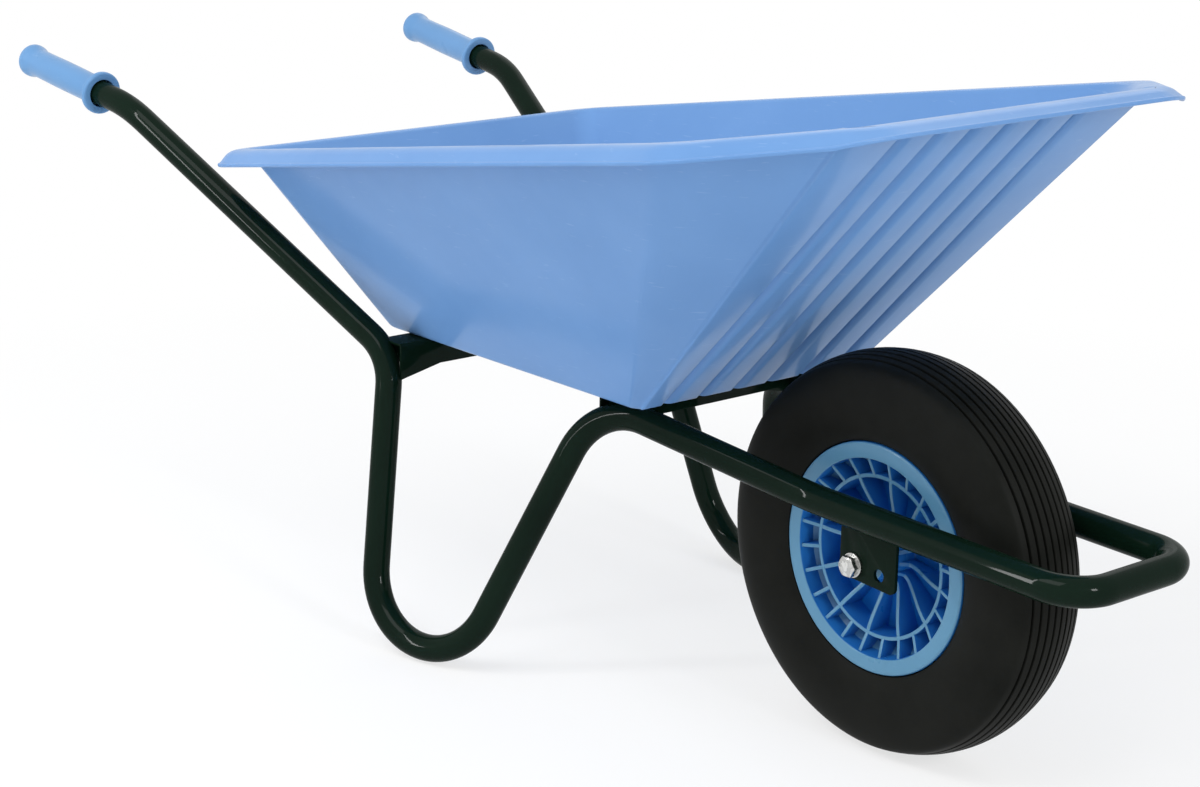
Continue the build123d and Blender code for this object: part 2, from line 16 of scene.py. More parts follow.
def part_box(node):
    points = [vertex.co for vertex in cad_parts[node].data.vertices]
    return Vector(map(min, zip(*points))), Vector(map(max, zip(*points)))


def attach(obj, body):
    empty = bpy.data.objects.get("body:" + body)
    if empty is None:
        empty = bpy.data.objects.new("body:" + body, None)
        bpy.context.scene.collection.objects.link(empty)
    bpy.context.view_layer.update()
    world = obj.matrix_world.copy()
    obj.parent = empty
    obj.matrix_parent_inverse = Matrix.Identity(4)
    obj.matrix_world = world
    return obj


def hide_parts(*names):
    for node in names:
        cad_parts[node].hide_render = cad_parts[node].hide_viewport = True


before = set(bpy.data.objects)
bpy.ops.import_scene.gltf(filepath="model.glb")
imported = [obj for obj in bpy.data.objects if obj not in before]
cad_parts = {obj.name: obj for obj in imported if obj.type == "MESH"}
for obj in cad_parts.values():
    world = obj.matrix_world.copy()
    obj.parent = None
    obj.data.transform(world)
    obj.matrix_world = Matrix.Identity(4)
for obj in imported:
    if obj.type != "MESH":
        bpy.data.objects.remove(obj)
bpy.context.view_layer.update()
mm = 0.001

# %% [markdown]
# ## The camera
# A product picture is taken with a longish lens from a little above, near one front corner. The place
# and the three angles below put the camera there. The columns of its matrix are the picture's right,
# the picture's up, and the way back from the subject, because a camera looks along its own -Z.

# %% Camera
camera_place = Vector((1.99812, -1.6879, 0.9876))
camera_yaw, camera_pitch, camera_roll = radians(49.842), radians(15.673), radians(0.929)
ahead = Vector((
    -sin(camera_yaw) * cos(camera_pitch), cos(camera_yaw) * cos(camera_pitch), -sin(camera_pitch)))
level = Vector((cos(camera_yaw), sin(camera_yaw), 0))
upright = level.cross(ahead)
right = level * cos(camera_roll) + upright * sin(camera_roll)
up = upright * cos(camera_roll) - level * sin(camera_roll)
camera = bpy.data.objects.new("camera", bpy.data.cameras.new("camera"))
camera.matrix_world = Matrix((
    (right.x, up.x, -ahead.x, camera_place.x),
    (right.y, up.y, -ahead.y, camera_place.y),
    (right.z, up.z, -ahead.z, camera_place.z),
    (0, 0, 0, 1),
))
camera.data.sensor_fit = "HORIZONTAL"
camera.data.sensor_width = 36
camera.data.lens = 74.97
camera.data.clip_end = 60
bpy.context.scene.collection.objects.link(camera)
bpy.context.scene.camera = camera
bpy.context.scene.view_settings.view_transform = "Standard"
print("camera", round(camera_place.length, 3), "m from the ground under the barrow's middle")

# %% [markdown]
# ## Nodes with less typing
# Every finish is a small network of nodes. The first helper adds one node, sets the sockets that stay
# the same all over, and hands it back, so that a finish reads like a recipe. The others join two
# nodes, stretch one range of values over another, and lay a pattern between two tones.

# %% Helpers for nodes
def node(tree, kind, sockets=None, **settings):
    """Adds a node, with its settings and the values of its unlinked sockets."""
    made = tree.nodes.new(kind)
    for key, value in settings.items():
        setattr(made, key, value)
    for key, value in (sockets or {}).items():
        made.inputs[key].default_value = value
    return made


def link(tree, start, output, end, socket):
    """Joins an output to an input."""
    tree.links.new(start.outputs[output], end.inputs[socket])


def map_range(tree, start, end):
    """A node that stretches one range of values over another."""
    sockets = {"From Min": start[0], "From Max": start[1], "To Min": end[0], "To Max": end[1]}
    return node(tree, "ShaderNodeMapRange", sockets)


def two_tones(tree, low, deep, high, pale):
    """A ramp from a deep to a pale tone, with the places on the ramp where they start."""
    ramp = node(tree, "ShaderNodeValToRGB")
    first, last = ramp.color_ramp.elements
    first.position, last.position = low, high
    first.color, last.color = (*deep, 1), (*pale, 1)
    return ramp


# %% [markdown]
# ## Floor and light
# The barrow stands on a pale studio floor that runs well past the edge of the picture. The world is a
# soft even light from all round. What the camera and mirror-like surfaces see of it is plain white,
# and a Light Path node keeps that apart from the light that falls on the barrow.

# %% World
def background_rays(tree):
    """A node that is 1 for rays by which the camera, metal or glass sees the background, else 0."""
    rays = node(tree, "ShaderNodeLightPath")
    seen = node(tree, "ShaderNodeMath", operation="MAXIMUM")
    seen_at_all = node(tree, "ShaderNodeMath", operation="MAXIMUM")
    link(tree, rays, "Is Camera Ray", seen, 0)
    link(tree, rays, "Is Glossy Ray", seen, 1)
    link(tree, seen, 0, seen_at_all, 0)
    link(tree, rays, "Is Transmission Ray", seen_at_all, 1)
    return seen_at_all


world = bpy.data.worlds.new("studio")
world.use_nodes = True
bpy.context.scene.world = world
tree = world.node_tree
tree.nodes.clear()
soft_light = node(tree, "ShaderNodeBackground", {"Color": (0.94, 0.97, 1.0, 1), "Strength": 0.65})
white = node(tree, "ShaderNodeBackground", {"Color": (1, 1, 1, 1), "Strength": 1.0})
choice = node(tree, "ShaderNodeMixShader")
output = node(tree, "ShaderNodeOutputWorld")
link(tree, background_rays(tree), 0, choice, 0)
link(tree, soft_light, 0, choice, 1)
link(tree, white, 0, choice, 2)
link(tree, choice, 0, output, 0)
print("world nodes:", len(tree.nodes))

# %% Floor
floor_mesh = bmesh.new()
bmesh.ops.create_grid(floor_mesh, x_segments=8, y_segments=8, size=14)
bmesh.ops.translate(floor_mesh, verts=floor_mesh.verts, vec=(-2, 2, -0.4 * mm))
floor = bpy.data.objects.new("floor", bpy.data.meshes.new("floor"))
floor_mesh.to_mesh(floor.data)
floor_mesh.free()
bpy.context.scene.collection.objects.link(floor)
print("floor faces:", len(floor.data.polygons))

# %% [markdown]
# The paper under the barrow takes its shadow like any matt surface. Further out a share of plain white
# is mixed in, for camera, mirror and glass rays only, until the floor and the world are one white sheet.

# %% Floor finish
paper = bpy.data.materials.new("studio_paper")
paper.use_nodes = True
tree = paper.node_tree
matt = tree.nodes["Principled BSDF"]
matt.inputs["Base Color"].default_value = (0.93, 0.93, 0.93, 1)
matt.inputs["Roughness"].default_value = 0.9
matt.inputs["Specular IOR Level"].default_value = 0.1
plain_white = node(tree, "ShaderNodeEmission", {"Color": (1, 1, 1, 1), "Strength": 1.0})
place = node(tree, "ShaderNodeTexCoord")
away = node(tree, "ShaderNodeVectorMath", operation="LENGTH")
whiteness = map_range(tree, (0.7, 1.6), (0.7, 1.0))
share = node(tree, "ShaderNodeMath", operation="MULTIPLY")
choice = node(tree, "ShaderNodeMixShader")
link(tree, place, "Object", away, 0)
link(tree, away, "Value", whiteness, 0)
link(tree, whiteness, 0, share, 0)
link(tree, background_rays(tree), 0, share, 1)
link(tree, share, 0, choice, 0)
link(tree, matt, 0, choice, 1)
link(tree, plain_white, 0, choice, 2)
link(tree, choice, 0, tree.nodes["Material Output"], 0)
floor.data.materials.append(paper)
print("floor nodes:", len(tree.nodes))

# %% [markdown]
# Four soft lamps shape the barrow. A large one overhead does most of the work, a narrow strip on the
# near side draws thin lines of light along the tube, a broad one behind lifts the far rim, and a small
# one ahead makes the ribs of the front panel stand out.

# %% Lamps
def lamp(name, place, aim, width, length, watts):
    """A soft rectangular lamp that faces a point."""
    light = bpy.data.lights.new(name, "AREA")
    light.shape = "RECTANGLE"
    light.size, light.size_y = width, length
    light.energy = watts
    made = bpy.data.objects.new(name, light)
    made.location = place
    made.rotation_euler = (Vector(aim) - Vector(place)).to_track_quat("-Z", "Y").to_euler()
    bpy.context.scene.collection.objects.link(made)


lamp("key_lamp", (0.1, -1.8, 3.1), aim=(0, 0, 0.4), width=2.2, length=1.5, watts=44)
lamp("strip_lamp", (-1.2, -2.6, 1.65), aim=(-0.2, -0.2, 0.4), width=0.12, length=2.2, watts=28)
lamp("back_lamp", (-1.8, 2.4, 2.6), aim=(0, 0, 0.4), width=2.4, length=2.4, watts=14)
lamp("front_lamp", (2.7, -0.2, 1.45), aim=(0.3, 0, 0.4), width=0.4, length=0.5, watts=20)

# %% [markdown]
# ## Moulded blue plastic
# The tray, the grips and the wheel centre are coloured right through, so wear never shows another
# colour. What the eye reads as plastic is a slow drift of tone, a fine pebbled grain from the mould, a
# gloss that varies, and pale scuffs. Noise on Object coordinates gives all of these, and they stay put
# on the piece however the barrow is turned.

# %% The moulded plastic finish
def moulded_plastic(name, deep, pale, shine, coat, gloss, grain, scuff):
    """A blue moulding: two tones, reflection of its body and of its skin, roughness, grain and scuffs."""
    finish = bpy.data.materials.new(name)
    finish.use_nodes = True
    tree = finish.node_tree
    surface = tree.nodes["Principled BSDF"]
    surface.inputs["Specular IOR Level"].default_value = shine
    surface.inputs["Coat Weight"].default_value = coat
    surface.inputs["Coat Roughness"].default_value = 0.14
    place = node(tree, "ShaderNodeTexCoord")
    drift = node(tree, "ShaderNodeTexNoise", {"Scale": 5.5, "Detail": 4.0, "Roughness": 0.55})
    tone = two_tones(tree, 0.3, deep, 0.72, pale)
    stretch = node(tree, "ShaderNodeMapping", {"Scale": (46, 46, 380), "Rotation": (0.5, 0.3, 0.2)})
    scratches = node(tree, "ShaderNodeTexNoise", {"Scale": 1.0, "Detail": 3.0, "Distortion": 0.4})
    picked = map_range(tree, (0.66, 0.8), (0.0, scuff))
    worn = node(tree, "ShaderNodeMix", {7: (0.52, 0.66, 0.86, 1)}, data_type="RGBA")
    patches = node(tree, "ShaderNodeTexNoise", {"Scale": 23.0, "Detail": 5.0})
    sheen = map_range(tree, (0.3, 0.7), gloss)
    pebbles = node(tree, "ShaderNodeTexNoise", {"Scale": 620.0, "Detail": 2.0})
    relief = node(tree, "ShaderNodeBump", {"Strength": grain, "Distance": 0.25 * mm})
    for pattern in (drift, patches, pebbles):
        link(tree, place, "Object", pattern, "Vector")
    link(tree, place, "Object", stretch, "Vector")
    link(tree, stretch, 0, scratches, "Vector")
    link(tree, drift, 0, tone, 0)
    link(tree, scratches, 0, picked, 0)
    link(tree, picked, 0, worn, "Factor")
    link(tree, tone, 0, worn, 6)
    link(tree, worn, 2, surface, "Base Color")
    link(tree, patches, 0, sheen, 0)
    link(tree, sheen, 0, surface, "Roughness")
    link(tree, pebbles, 0, relief, "Height")
    link(tree, relief, 0, surface, "Normal")
    return finish


tray_plastic = moulded_plastic(
    "tray_plastic", deep=(0.129, 0.278, 0.560), pale=(0.154, 0.312, 0.603), shine=0.03, coat=0.32,
    gloss=(0.3, 0.44), grain=0.12, scuff=0.16)
grip_plastic = moulded_plastic(
    "grip_plastic", deep=(0.118, 0.272, 0.510), pale=(0.142, 0.300, 0.545), shine=0.08, coat=0.36,
    gloss=(0.24, 0.38), grain=0.08, scuff=0.12)
wheel_plastic = moulded_plastic(
    "wheel_plastic", deep=(0.092, 0.250, 0.395), pale=(0.108, 0.278, 0.432), shine=0.3, coat=0.1,
    gloss=(0.26, 0.4), grain=0.08, scuff=0.06)
print("plastics:", [m.name for m in (tray_plastic, grip_plastic, wheel_plastic)])

# %% [markdown]
# The wheel centre is one blue plastic, and its pockets look deeper blue only because they lie in shade. This
# is painted shade: the mix from the face's tone to a deep tone follows how far a point is from the wheel's
# middle plane, and how squarely its surface faces along the axle, so the recesses and the sides of the ribs
# come out darker.

# %% Paint shade into the wheel's pockets
def paint_pocket_shade(finish, deep, low, high):
    """Paints shade into a moulding: a deep tone near its middle plane and on the sides of its ribs."""
    tree = finish.node_tree
    surface = tree.nodes["Principled BSDF"]
    face_tone = surface.inputs["Base Color"].links[0].from_socket
    place = node(tree, "ShaderNodeTexCoord")
    factors = []
    for source, start, end in (("Object", (low, high), (0.0, 1.0)), ("Normal", (0.25, 0.85), (0.12, 1.0))):
        parts = node(tree, "ShaderNodeSeparateXYZ")
        size = node(tree, "ShaderNodeMath", operation="ABSOLUTE")
        reach = map_range(tree, start, end)
        link(tree, place, source, parts, 0)
        link(tree, parts, "Y", size, 0)
        link(tree, size, 0, reach, 0)
        factors.append(reach)
    both = node(tree, "ShaderNodeMath", operation="MULTIPLY")
    # painted shade: the deep tone stands in for the shade in the pockets and on the sides of the ribs
    painted_shade_mix = node(tree, "ShaderNodeMix", {6: (*deep, 1)}, data_type="RGBA")
    link(tree, factors[0], 0, both, 0)
    link(tree, factors[1], 0, both, 1)
    link(tree, both, 0, painted_shade_mix, "Factor")
    tree.links.new(face_tone, painted_shade_mix.inputs[7])
    link(tree, painted_shade_mix, 2, surface, "Base Color")


# painted shade: the pockets' deep blue is shade, not a second colour of the plastic
paint_pocket_shade(wheel_plastic, deep=(0.008, 0.158, 0.525), low=4 * mm, high=18 * mm)
print("wheel finish has", len(wheel_plastic.node_tree.nodes), "nodes")

# %% [markdown]
# ## Dark green paint
# The tube, braces and brackets are sprayed with a glossy, nearly black green. Sprayed paint isn't
# glass: it has a faint orange peel that breaks up the reflections, and a little dust. The bump is low
# and about the size of the droplets, and the specular level is set down so that the paint stays dark.

# %% The paint finish
frame_paint = bpy.data.materials.new("frame_paint")
frame_paint.use_nodes = True
tree = frame_paint.node_tree
surface = tree.nodes["Principled BSDF"]
surface.inputs["Specular IOR Level"].default_value = 0.01
surface.inputs["Coat Weight"].default_value = 0.13
surface.inputs["Coat Roughness"].default_value = 0.04
place = node(tree, "ShaderNodeTexCoord")
drift = node(tree, "ShaderNodeTexNoise", {"Scale": 9.0, "Detail": 5.0})
tone = two_tones(tree, 0.3, (0.0022, 0.0085, 0.0048), 0.75, (0.0045, 0.0140, 0.0080))
dust = node(tree, "ShaderNodeTexNoise", {"Scale": 60.0, "Detail": 6.0})
sheen = map_range(tree, (0.3, 0.75), (0.17, 0.34))
peel = node(tree, "ShaderNodeTexNoise", {"Scale": 420.0, "Detail": 1.0})
relief = node(tree, "ShaderNodeBump", {"Strength": 0.06, "Distance": 0.2 * mm})
for pattern in (drift, dust, peel):
    link(tree, place, "Object", pattern, "Vector")
link(tree, drift, 0, tone, 0)
link(tree, tone, 0, surface, "Base Color")
link(tree, dust, 0, sheen, 0)
link(tree, sheen, 0, surface, "Roughness")
link(tree, peel, 0, relief, "Height")
link(tree, relief, 0, surface, "Normal")
print("paint nodes:", len(tree.nodes))

# %% [markdown]
# ## Rubber, zinc and the small parts
# The tyre is matt black rubber, a touch brown where dust sits in its pores. Fasteners are zinc plated,
# a bright metal whose crystals differ a little from patch to patch. The same helper, with other
# numbers, also gives the nylon bushes, the brass valve and its cap.

# %% A finish with two tones and a grain
def grained(name, dark, light, patch_scale, gloss, grain_scale, grain, metal=0.0, cells=False):
    """A finish of two tones in patches, a range of roughness and a fine relief."""
    finish = bpy.data.materials.new(name)
    finish.use_nodes = True
    tree = finish.node_tree
    surface = tree.nodes["Principled BSDF"]
    surface.inputs["Metallic"].default_value = metal
    place = node(tree, "ShaderNodeTexCoord")
    if cells:
        patches = node(tree, "ShaderNodeTexVoronoi", {"Scale": patch_scale})
        source = "Color"
    else:
        patches = node(tree, "ShaderNodeTexNoise", {"Scale": patch_scale, "Detail": 6.0, "Roughness": 0.6})
        source = 0
    tone = two_tones(tree, 0.32, dark, 0.72, light)
    sheen = map_range(tree, (0.25, 0.75), gloss)
    pores = node(tree, "ShaderNodeTexNoise", {"Scale": grain_scale, "Detail": 3.0})
    relief = node(tree, "ShaderNodeBump", {"Strength": grain, "Distance": 0.2 * mm})
    link(tree, place, "Object", patches, "Vector")
    link(tree, place, "Object", pores, "Vector")
    link(tree, patches, source, tone, 0)
    link(tree, tone, 0, surface, "Base Color")
    link(tree, patches, source, sheen, 0)
    link(tree, sheen, 0, surface, "Roughness")
    link(tree, pores, 0, relief, "Height")
    link(tree, relief, 0, surface, "Normal")
    return finish


tyre_rubber = grained(
    "tyre_rubber", (0.0056, 0.0062, 0.0051), (0.0104, 0.0109, 0.0092), patch_scale=18, gloss=(0.42, 0.58),
    grain_scale=900, grain=0.16)
tyre_rubber.node_tree.nodes["Principled BSDF"].inputs["Specular IOR Level"].default_value = 0.06
tube_rubber = grained(
    "tube_rubber", (0.012, 0.012, 0.012), (0.022, 0.022, 0.022), patch_scale=30, gloss=(0.6, 0.75),
    grain_scale=900, grain=0.1)
zinc = grained(
    "zinc", (0.50, 0.50, 0.49), (0.72, 0.72, 0.70), patch_scale=260, gloss=(0.2, 0.36),
    grain_scale=700, grain=0.05, metal=1.0, cells=True)
nylon = grained(
    "bearing_plastic", (0.66, 0.65, 0.60), (0.76, 0.75, 0.71), patch_scale=90, gloss=(0.35, 0.5),
    grain_scale=600, grain=0.06)
brass = grained(
    "valve_brass", (0.52, 0.38, 0.16), (0.66, 0.50, 0.23), patch_scale=120, gloss=(0.25, 0.4),
    grain_scale=600, grain=0.05, metal=1.0)
cap_plastic = grained(
    "cap_plastic", (0.014, 0.014, 0.014), (0.026, 0.026, 0.026), patch_scale=80, gloss=(0.4, 0.55),
    grain_scale=800, grain=0.08)
print("finishes:", len(bpy.data.materials))

# %% [markdown]
# ## From mesh to piece
# Each new piece is drawn in a bmesh, then goes through the same last steps: merge doubled points, point
# the faces outwards, shade it smooth but keep real corners crisp, give it a finish, hide the solid it stands
# for and hang it on the body that carries it. One helper does this for all of them.

# %% Finish a piece
merge_distance = 0.004 * mm


def finish_piece(name, shape, body, stands_for, finish, crisp=38):
    """Turns a bmesh into a piece that rides on a body and replaces its solid."""
    bmesh.ops.remove_doubles(shape, verts=shape.verts, dist=merge_distance)
    bmesh.ops.recalc_face_normals(shape, faces=shape.faces)
    mesh = bpy.data.meshes.new(name)
    shape.to_mesh(mesh)
    shape.free()
    mesh.shade_smooth()
    mesh.set_sharp_from_angle(angle=radians(crisp))
    mesh.materials.append(finish)
    piece = bpy.data.objects.new(name, mesh)
    bpy.context.scene.collection.objects.link(piece)
    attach(piece, body)
    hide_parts(*stands_for)
    size = [round(v / mm, 1) for v in piece.dimensions]
    print(name, "faces:", len(mesh.polygons), "size in mm:", size)
    return piece


# %% [markdown]
# ## The long bent tube
# One tube makes the whole frame: it runs from the right grip down to the leg, up again, along the rail,
# round the nose and back on the other side. A tube bender pushes straight lengths and rolls them round
# a former, and the mesh is made the same way: a circle is extruded along each straight run and spun
# about the centre of each bend. Places along the barrow are given from the axle.

# %% The tube's corners
tyre_low, tyre_high = (Vector(corner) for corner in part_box("tyre"))
axle = (tyre_low + tyre_high) / 2
axle_foot = Vector((axle.x, 0, 0))
tube_radius = 14.3 * mm
grip_end = Vector((-1190.1, -282.7, 553.2)) * mm
handle_bend = Vector((-972.7, -271.6, 522.6)) * mm
rear_bend = Vector((-577.4, -188.2, 300.0)) * mm
foot_bend = Vector((-480.8, -305.3, -225.13)) * mm
front_bend = Vector((-306.3, -124.6, 300.0)) * mm
rail_bend = Vector((-44.0, -78.5, 255.7)) * mm
nose_bend = Vector((279.0, -78.5, 248.8)) * mm
grip_axis = (handle_bend - grip_end).normalized()
grip_end_wall = 14 * mm
tube_start = grip_end + grip_axis * grip_end_wall
right_run = [tube_start, handle_bend, rear_bend, foot_bend, front_bend, rail_bend, nose_bend]
left_run = [Vector((p.x, -p.y, p.z)) for p in reversed(right_run)]
right_bends = [140, 65, 81, 75, 160, 40]
tube_corners = [p + axle_foot for p in right_run + left_run]
tube_bends = [r * mm for r in right_bends + right_bends[::-1]]
print("tube corners:", len(tube_corners), "axle at", [round(v, 4) for v in axle])


# %% Bend the tube
def push_ring(shape, ring, here, there):
    """Extrudes an open ring of edges in a straight line and returns the new ring."""
    pushed = bmesh.ops.extrude_edge_only(shape, edges=ring)["geom"]
    ends = [g for g in pushed if isinstance(g, bmesh.types.BMVert)]
    bmesh.ops.translate(shape, verts=ends, vec=there - here)
    return [g for g in pushed if isinstance(g, bmesh.types.BMEdge)]


def bent_tube(corners, bends, radius, sides):
    """A round bar along straight runs and round bends, closed at both ends."""
    shape = bmesh.new()
    heading = (corners[1] - corners[0]).normalized()
    stand = Matrix.Translation(corners[0]) @ heading.to_track_quat("Z", "Y").to_matrix().to_4x4()
    bmesh.ops.create_circle(shape, segments=sides, radius=radius, matrix=stand)
    ring = shape.edges[:]
    here = corners[0]
    for before, corner, after, bend in zip(corners, corners[1:], corners[2:], bends):
        into = (corner - before).normalized()
        out = (after - corner).normalized()
        turn = into.angle(out)
        start = corner - into * bend * tan(turn / 2)
        ring = push_ring(shape, ring, here, start)
        axis = into.cross(out).normalized()
        centre = start + axis.cross(into) * bend
        tips = list({v for e in ring for v in e.verts})
        steps = max(4, round(degrees(turn) / 4))
        swept = bmesh.ops.spin(shape, geom=tips + ring, cent=centre, axis=axis, angle=turn, steps=steps)
        ring = [g for g in swept["geom_last"] if isinstance(g, bmesh.types.BMEdge)]
        here = corner + out * bend * tan(turn / 2)
    push_ring(shape, ring, here, corners[-1])
    bmesh.ops.holes_fill(shape, edges=[e for e in shape.edges if e.is_boundary], sides=sides)
    return shape


finish_piece(
    "bent_frame_tube", bent_tube(tube_corners, tube_bends, tube_radius, sides=40), "chassis", ["frame_tube"],
    frame_paint)

# %% [markdown]
# ## The lathe
# Grips, tyre and wheel centre are round, so each is an outline turned about a line. The outline is a
# chain of points given as radius and distance along the axis. Short curves in it come from Bezier
# spans, and sharp points are rounded by bevelling the vertex before the spin.

# %% A helper for turned shapes
def curve(start, start_pull, end_pull, end, count):
    """Points of a smooth span between two outline points, without its last point."""
    span = [Vector((*p, 0)) for p in (start, start_pull, end_pull, end)]
    return [(p.x, p.y) for p in interpolate_bezier(*span, count)][:-1]


def turned(outline, steps, rounds=None):
    """Spins an outline of (radius, along) in millimetres about Y; rounds gives corner sizes by index."""
    shape = bmesh.new()
    points = [shape.verts.new((radius * mm, along * mm, 0)) for radius, along in outline]
    for pair in zip(points, points[1:]):
        shape.edges.new(pair)
    for index, size in (rounds or {}).items():
        bmesh.ops.bevel(
            shape, geom=[points[index]], offset=size * mm, segments=4, profile=0.5, affect="VERTICES",
            material=-1)
    bmesh.ops.spin(
        shape, geom=shape.verts[:] + shape.edges[:], cent=(0, 0, 0), axis=(0, 1, 0), angle=2 * pi,
        steps=steps, use_merge=True)
    bmesh.ops.remove_doubles(shape, verts=shape.verts, dist=merge_distance)
    return shape


# %% [markdown]
# ## The grips
# Each grip is a soft-edged moulding pushed on the tube: a rounded end that fills the palm, a slim body
# and a flange that stops the hand. The outline goes from the closed end, along the outside, round the
# flange and back down the bore. It is turned about Y and then laid along the handle.

# %% Turn the grips
grip_outline = (
    curve((0, 0), (11, 0), (19.5, 3.5), (19.5, 11), 12)
    + curve((19.5, 11), (19.5, 19), (16.6, 20), (16.6, 29), 10)
    + curve((16.6, 29), (16.6, 55), (17.0, 60), (17.0, 82), 8)
    + curve((17.0, 82), (17.0, 110), (16.6, 130), (16.6, 153), 8)
    + [(17.4, 156), (24.8, 156), (24.8, 163), (16.0, 163)]
    + [(16.0, 149), (14.45, 145.5), (14.45, 14), (0, 14)]
)
points_from_flange = 8
flange_first = len(grip_outline) - points_from_flange
grip_rounds = {flange_first: 1.6, flange_first + 1: 1.8, flange_first + 2: 2.6, flange_first + 3: 1.2}


def lay_along(shape, start, heading):
    """Turns a shape drawn along Y so that it lies along a heading from a start."""
    swing = Vector((0, 1, 0)).rotation_difference(heading).to_matrix().to_4x4()
    bmesh.ops.transform(shape, verts=shape.verts, matrix=Matrix.Translation(start) @ swing)


for side, name in ((1, "right_grip"), (-1, "left_grip")):
    to_side = Vector((1, side, 1))
    grip = turned(grip_outline, steps=56, rounds=grip_rounds)
    lay_along(grip, (grip_end + axle_foot) * to_side, grip_axis * to_side)
    finish_piece("moulded_" + name, grip, "chassis", [name], grip_plastic)

# %% [markdown]
# ## The tray
# The tray is moulded from one sheet of even thickness, so the mesh is drawn as one skin, the underside,
# and gets its thickness last. Five outlines carry the shape: the floor, the top of the walls, the edge
# of the flange, the bottom of the sloping lip and its turned-out tip. All have the same number of
# points, so bridge_loops joins each to the next with clean quads. The front panel is raised by 3 mm,
# and the walls dip a little just before it.

# %% The tray's corners
wall = 4.0 * mm
rim_tilt = radians(9.18)
rim_up = Vector((-sin(rim_tilt), 0, cos(rim_tilt)))
floor_rear = Vector((-638.7, -154.0, 314.7)) * mm
floor_shoulder = Vector((-223.0, -154.0, 314.7)) * mm
floor_fold = Vector((-214.3, -150.0, 314.7)) * mm
crest_rear = Vector((-780.01, -247.84, 498.86)) * mm
crest_shoulder = Vector((3.0, -306.6, 625.40)) * mm
crest_fold = Vector((103.01, -199.0, 641.56)) * mm
under_rear = Vector((-777.25, -246.0, 495.26)) * mm
under_shoulder = Vector((0.27, -304.3, 620.91)) * mm
under_fold = Vector((98.34, -198.18, 636.76)) * mm
front_lean = radians(44.15)
panel_rise = 3.0 * mm / cos(front_lean)
print("rim rises", round((crest_fold - crest_rear).z / mm, 1), "mm from back to front")


# %% Draw an outline
def mirrored(points):
    """The points of the right half, then those of the left half on the way back."""
    return points + [Vector((p.x, -p.y, p.z)) for p in reversed(points)]


def rounded_loop(shape, corners, rear_radius, shoulder_radius):
    """A closed outline whose rear and shoulder corners are rounded; returns its face."""
    points = [shape.verts.new(p + axle_foot) for p in mirrored(corners)]
    shape.faces.new(points)
    cuts = []
    for index, radius in ((0, rear_radius), (1, shoulder_radius), (-1, rear_radius), (-2, shoulder_radius)):
        before = (points[index].co - points[index - 1].co).normalized()
        after = (points[(index + 1) % len(points)].co - points[index].co).normalized()
        cuts.append((points[index], radius * tan(before.angle(after) / 2)))
    for point, reach in cuts:
        bmesh.ops.bevel(
            shape, geom=[point], offset=reach, segments=8, profile=0.5, affect="VERTICES", material=-1)
    shape.faces.ensure_lookup_table()
    return shape.faces[-1]


def outset(before, corner, after, width_before, width_after):
    """A corner moved outwards, within the plane of the rim, by the widths beside its two edges."""
    first = (corner - before).normalized().cross(rim_up)
    second = (after - corner).normalized().cross(rim_up)
    shared = first.dot(second)
    along_first = (width_before - shared * width_after) / (1 - shared ** 2)
    along_second = (width_after - shared * width_before) / (1 - shared ** 2)
    return corner + first * along_first + second * along_second


crest_loop = mirrored([crest_rear, crest_shoulder, crest_fold])
corner_lead = 22 * mm


def rim_outline(rear, side, front, side_drop, front_drop, corner_cut):
    """The right half of an outline round the rim, from its widths and how far it lies under the flange."""
    widths = [rear, side, side, front]
    corners = []
    for i in range(3):
        corners.append(outset(crest_loop[i - 1], crest_loop[i], crest_loop[i + 1], widths[i], widths[i + 1]))
    back, shoulder, nose = [corner - rim_up * (wall + side_drop) for corner in corners]
    way = (shoulder - nose).normalized()
    lift = rim_up * (side_drop - front_drop)
    lead_in = nose + way * (corner_cut + corner_lead)
    before_corner = nose + way * corner_cut + lift / 2
    after_corner = nose + Vector((0, corner_cut, 0)) + lift
    return [back, shoulder, lead_in, before_corner, after_corner]


flange_right = rim_outline(
    rear=18 * mm, side=15 * mm, front=24 * mm, side_drop=0, front_drop=0, corner_cut=18 * mm)
lip_right = rim_outline(
    rear=29.5 * mm, side=26.5 * mm, front=36 * mm, side_drop=12 * mm, front_drop=8 * mm, corner_cut=21 * mm)
tip_right = rim_outline(
    rear=34 * mm, side=30.4 * mm, front=41 * mm, side_drop=13 * mm, front_drop=8 * mm, corner_cut=22 * mm)
print("corners of the tip:", [[round(v / mm, 1) for v in p] for p in tip_right])


# %% Join the outlines into one skin
def wall_outline(rear, shoulder, fold, dip_width):
    """The right half of an outline of the walls, with a shallow dip before the raised front panel."""
    along = (shoulder - fold).normalized()
    inwards = Vector((along.y, -along.x, 0)).normalized()
    dip_start = fold + along * dip_width
    dip_bottom = fold + (along * 2 + inwards) * dip_width / 7.5
    panel_edge = fold + Vector((panel_rise, 0, 0))
    return [rear, shoulder, dip_start, dip_bottom, panel_edge]


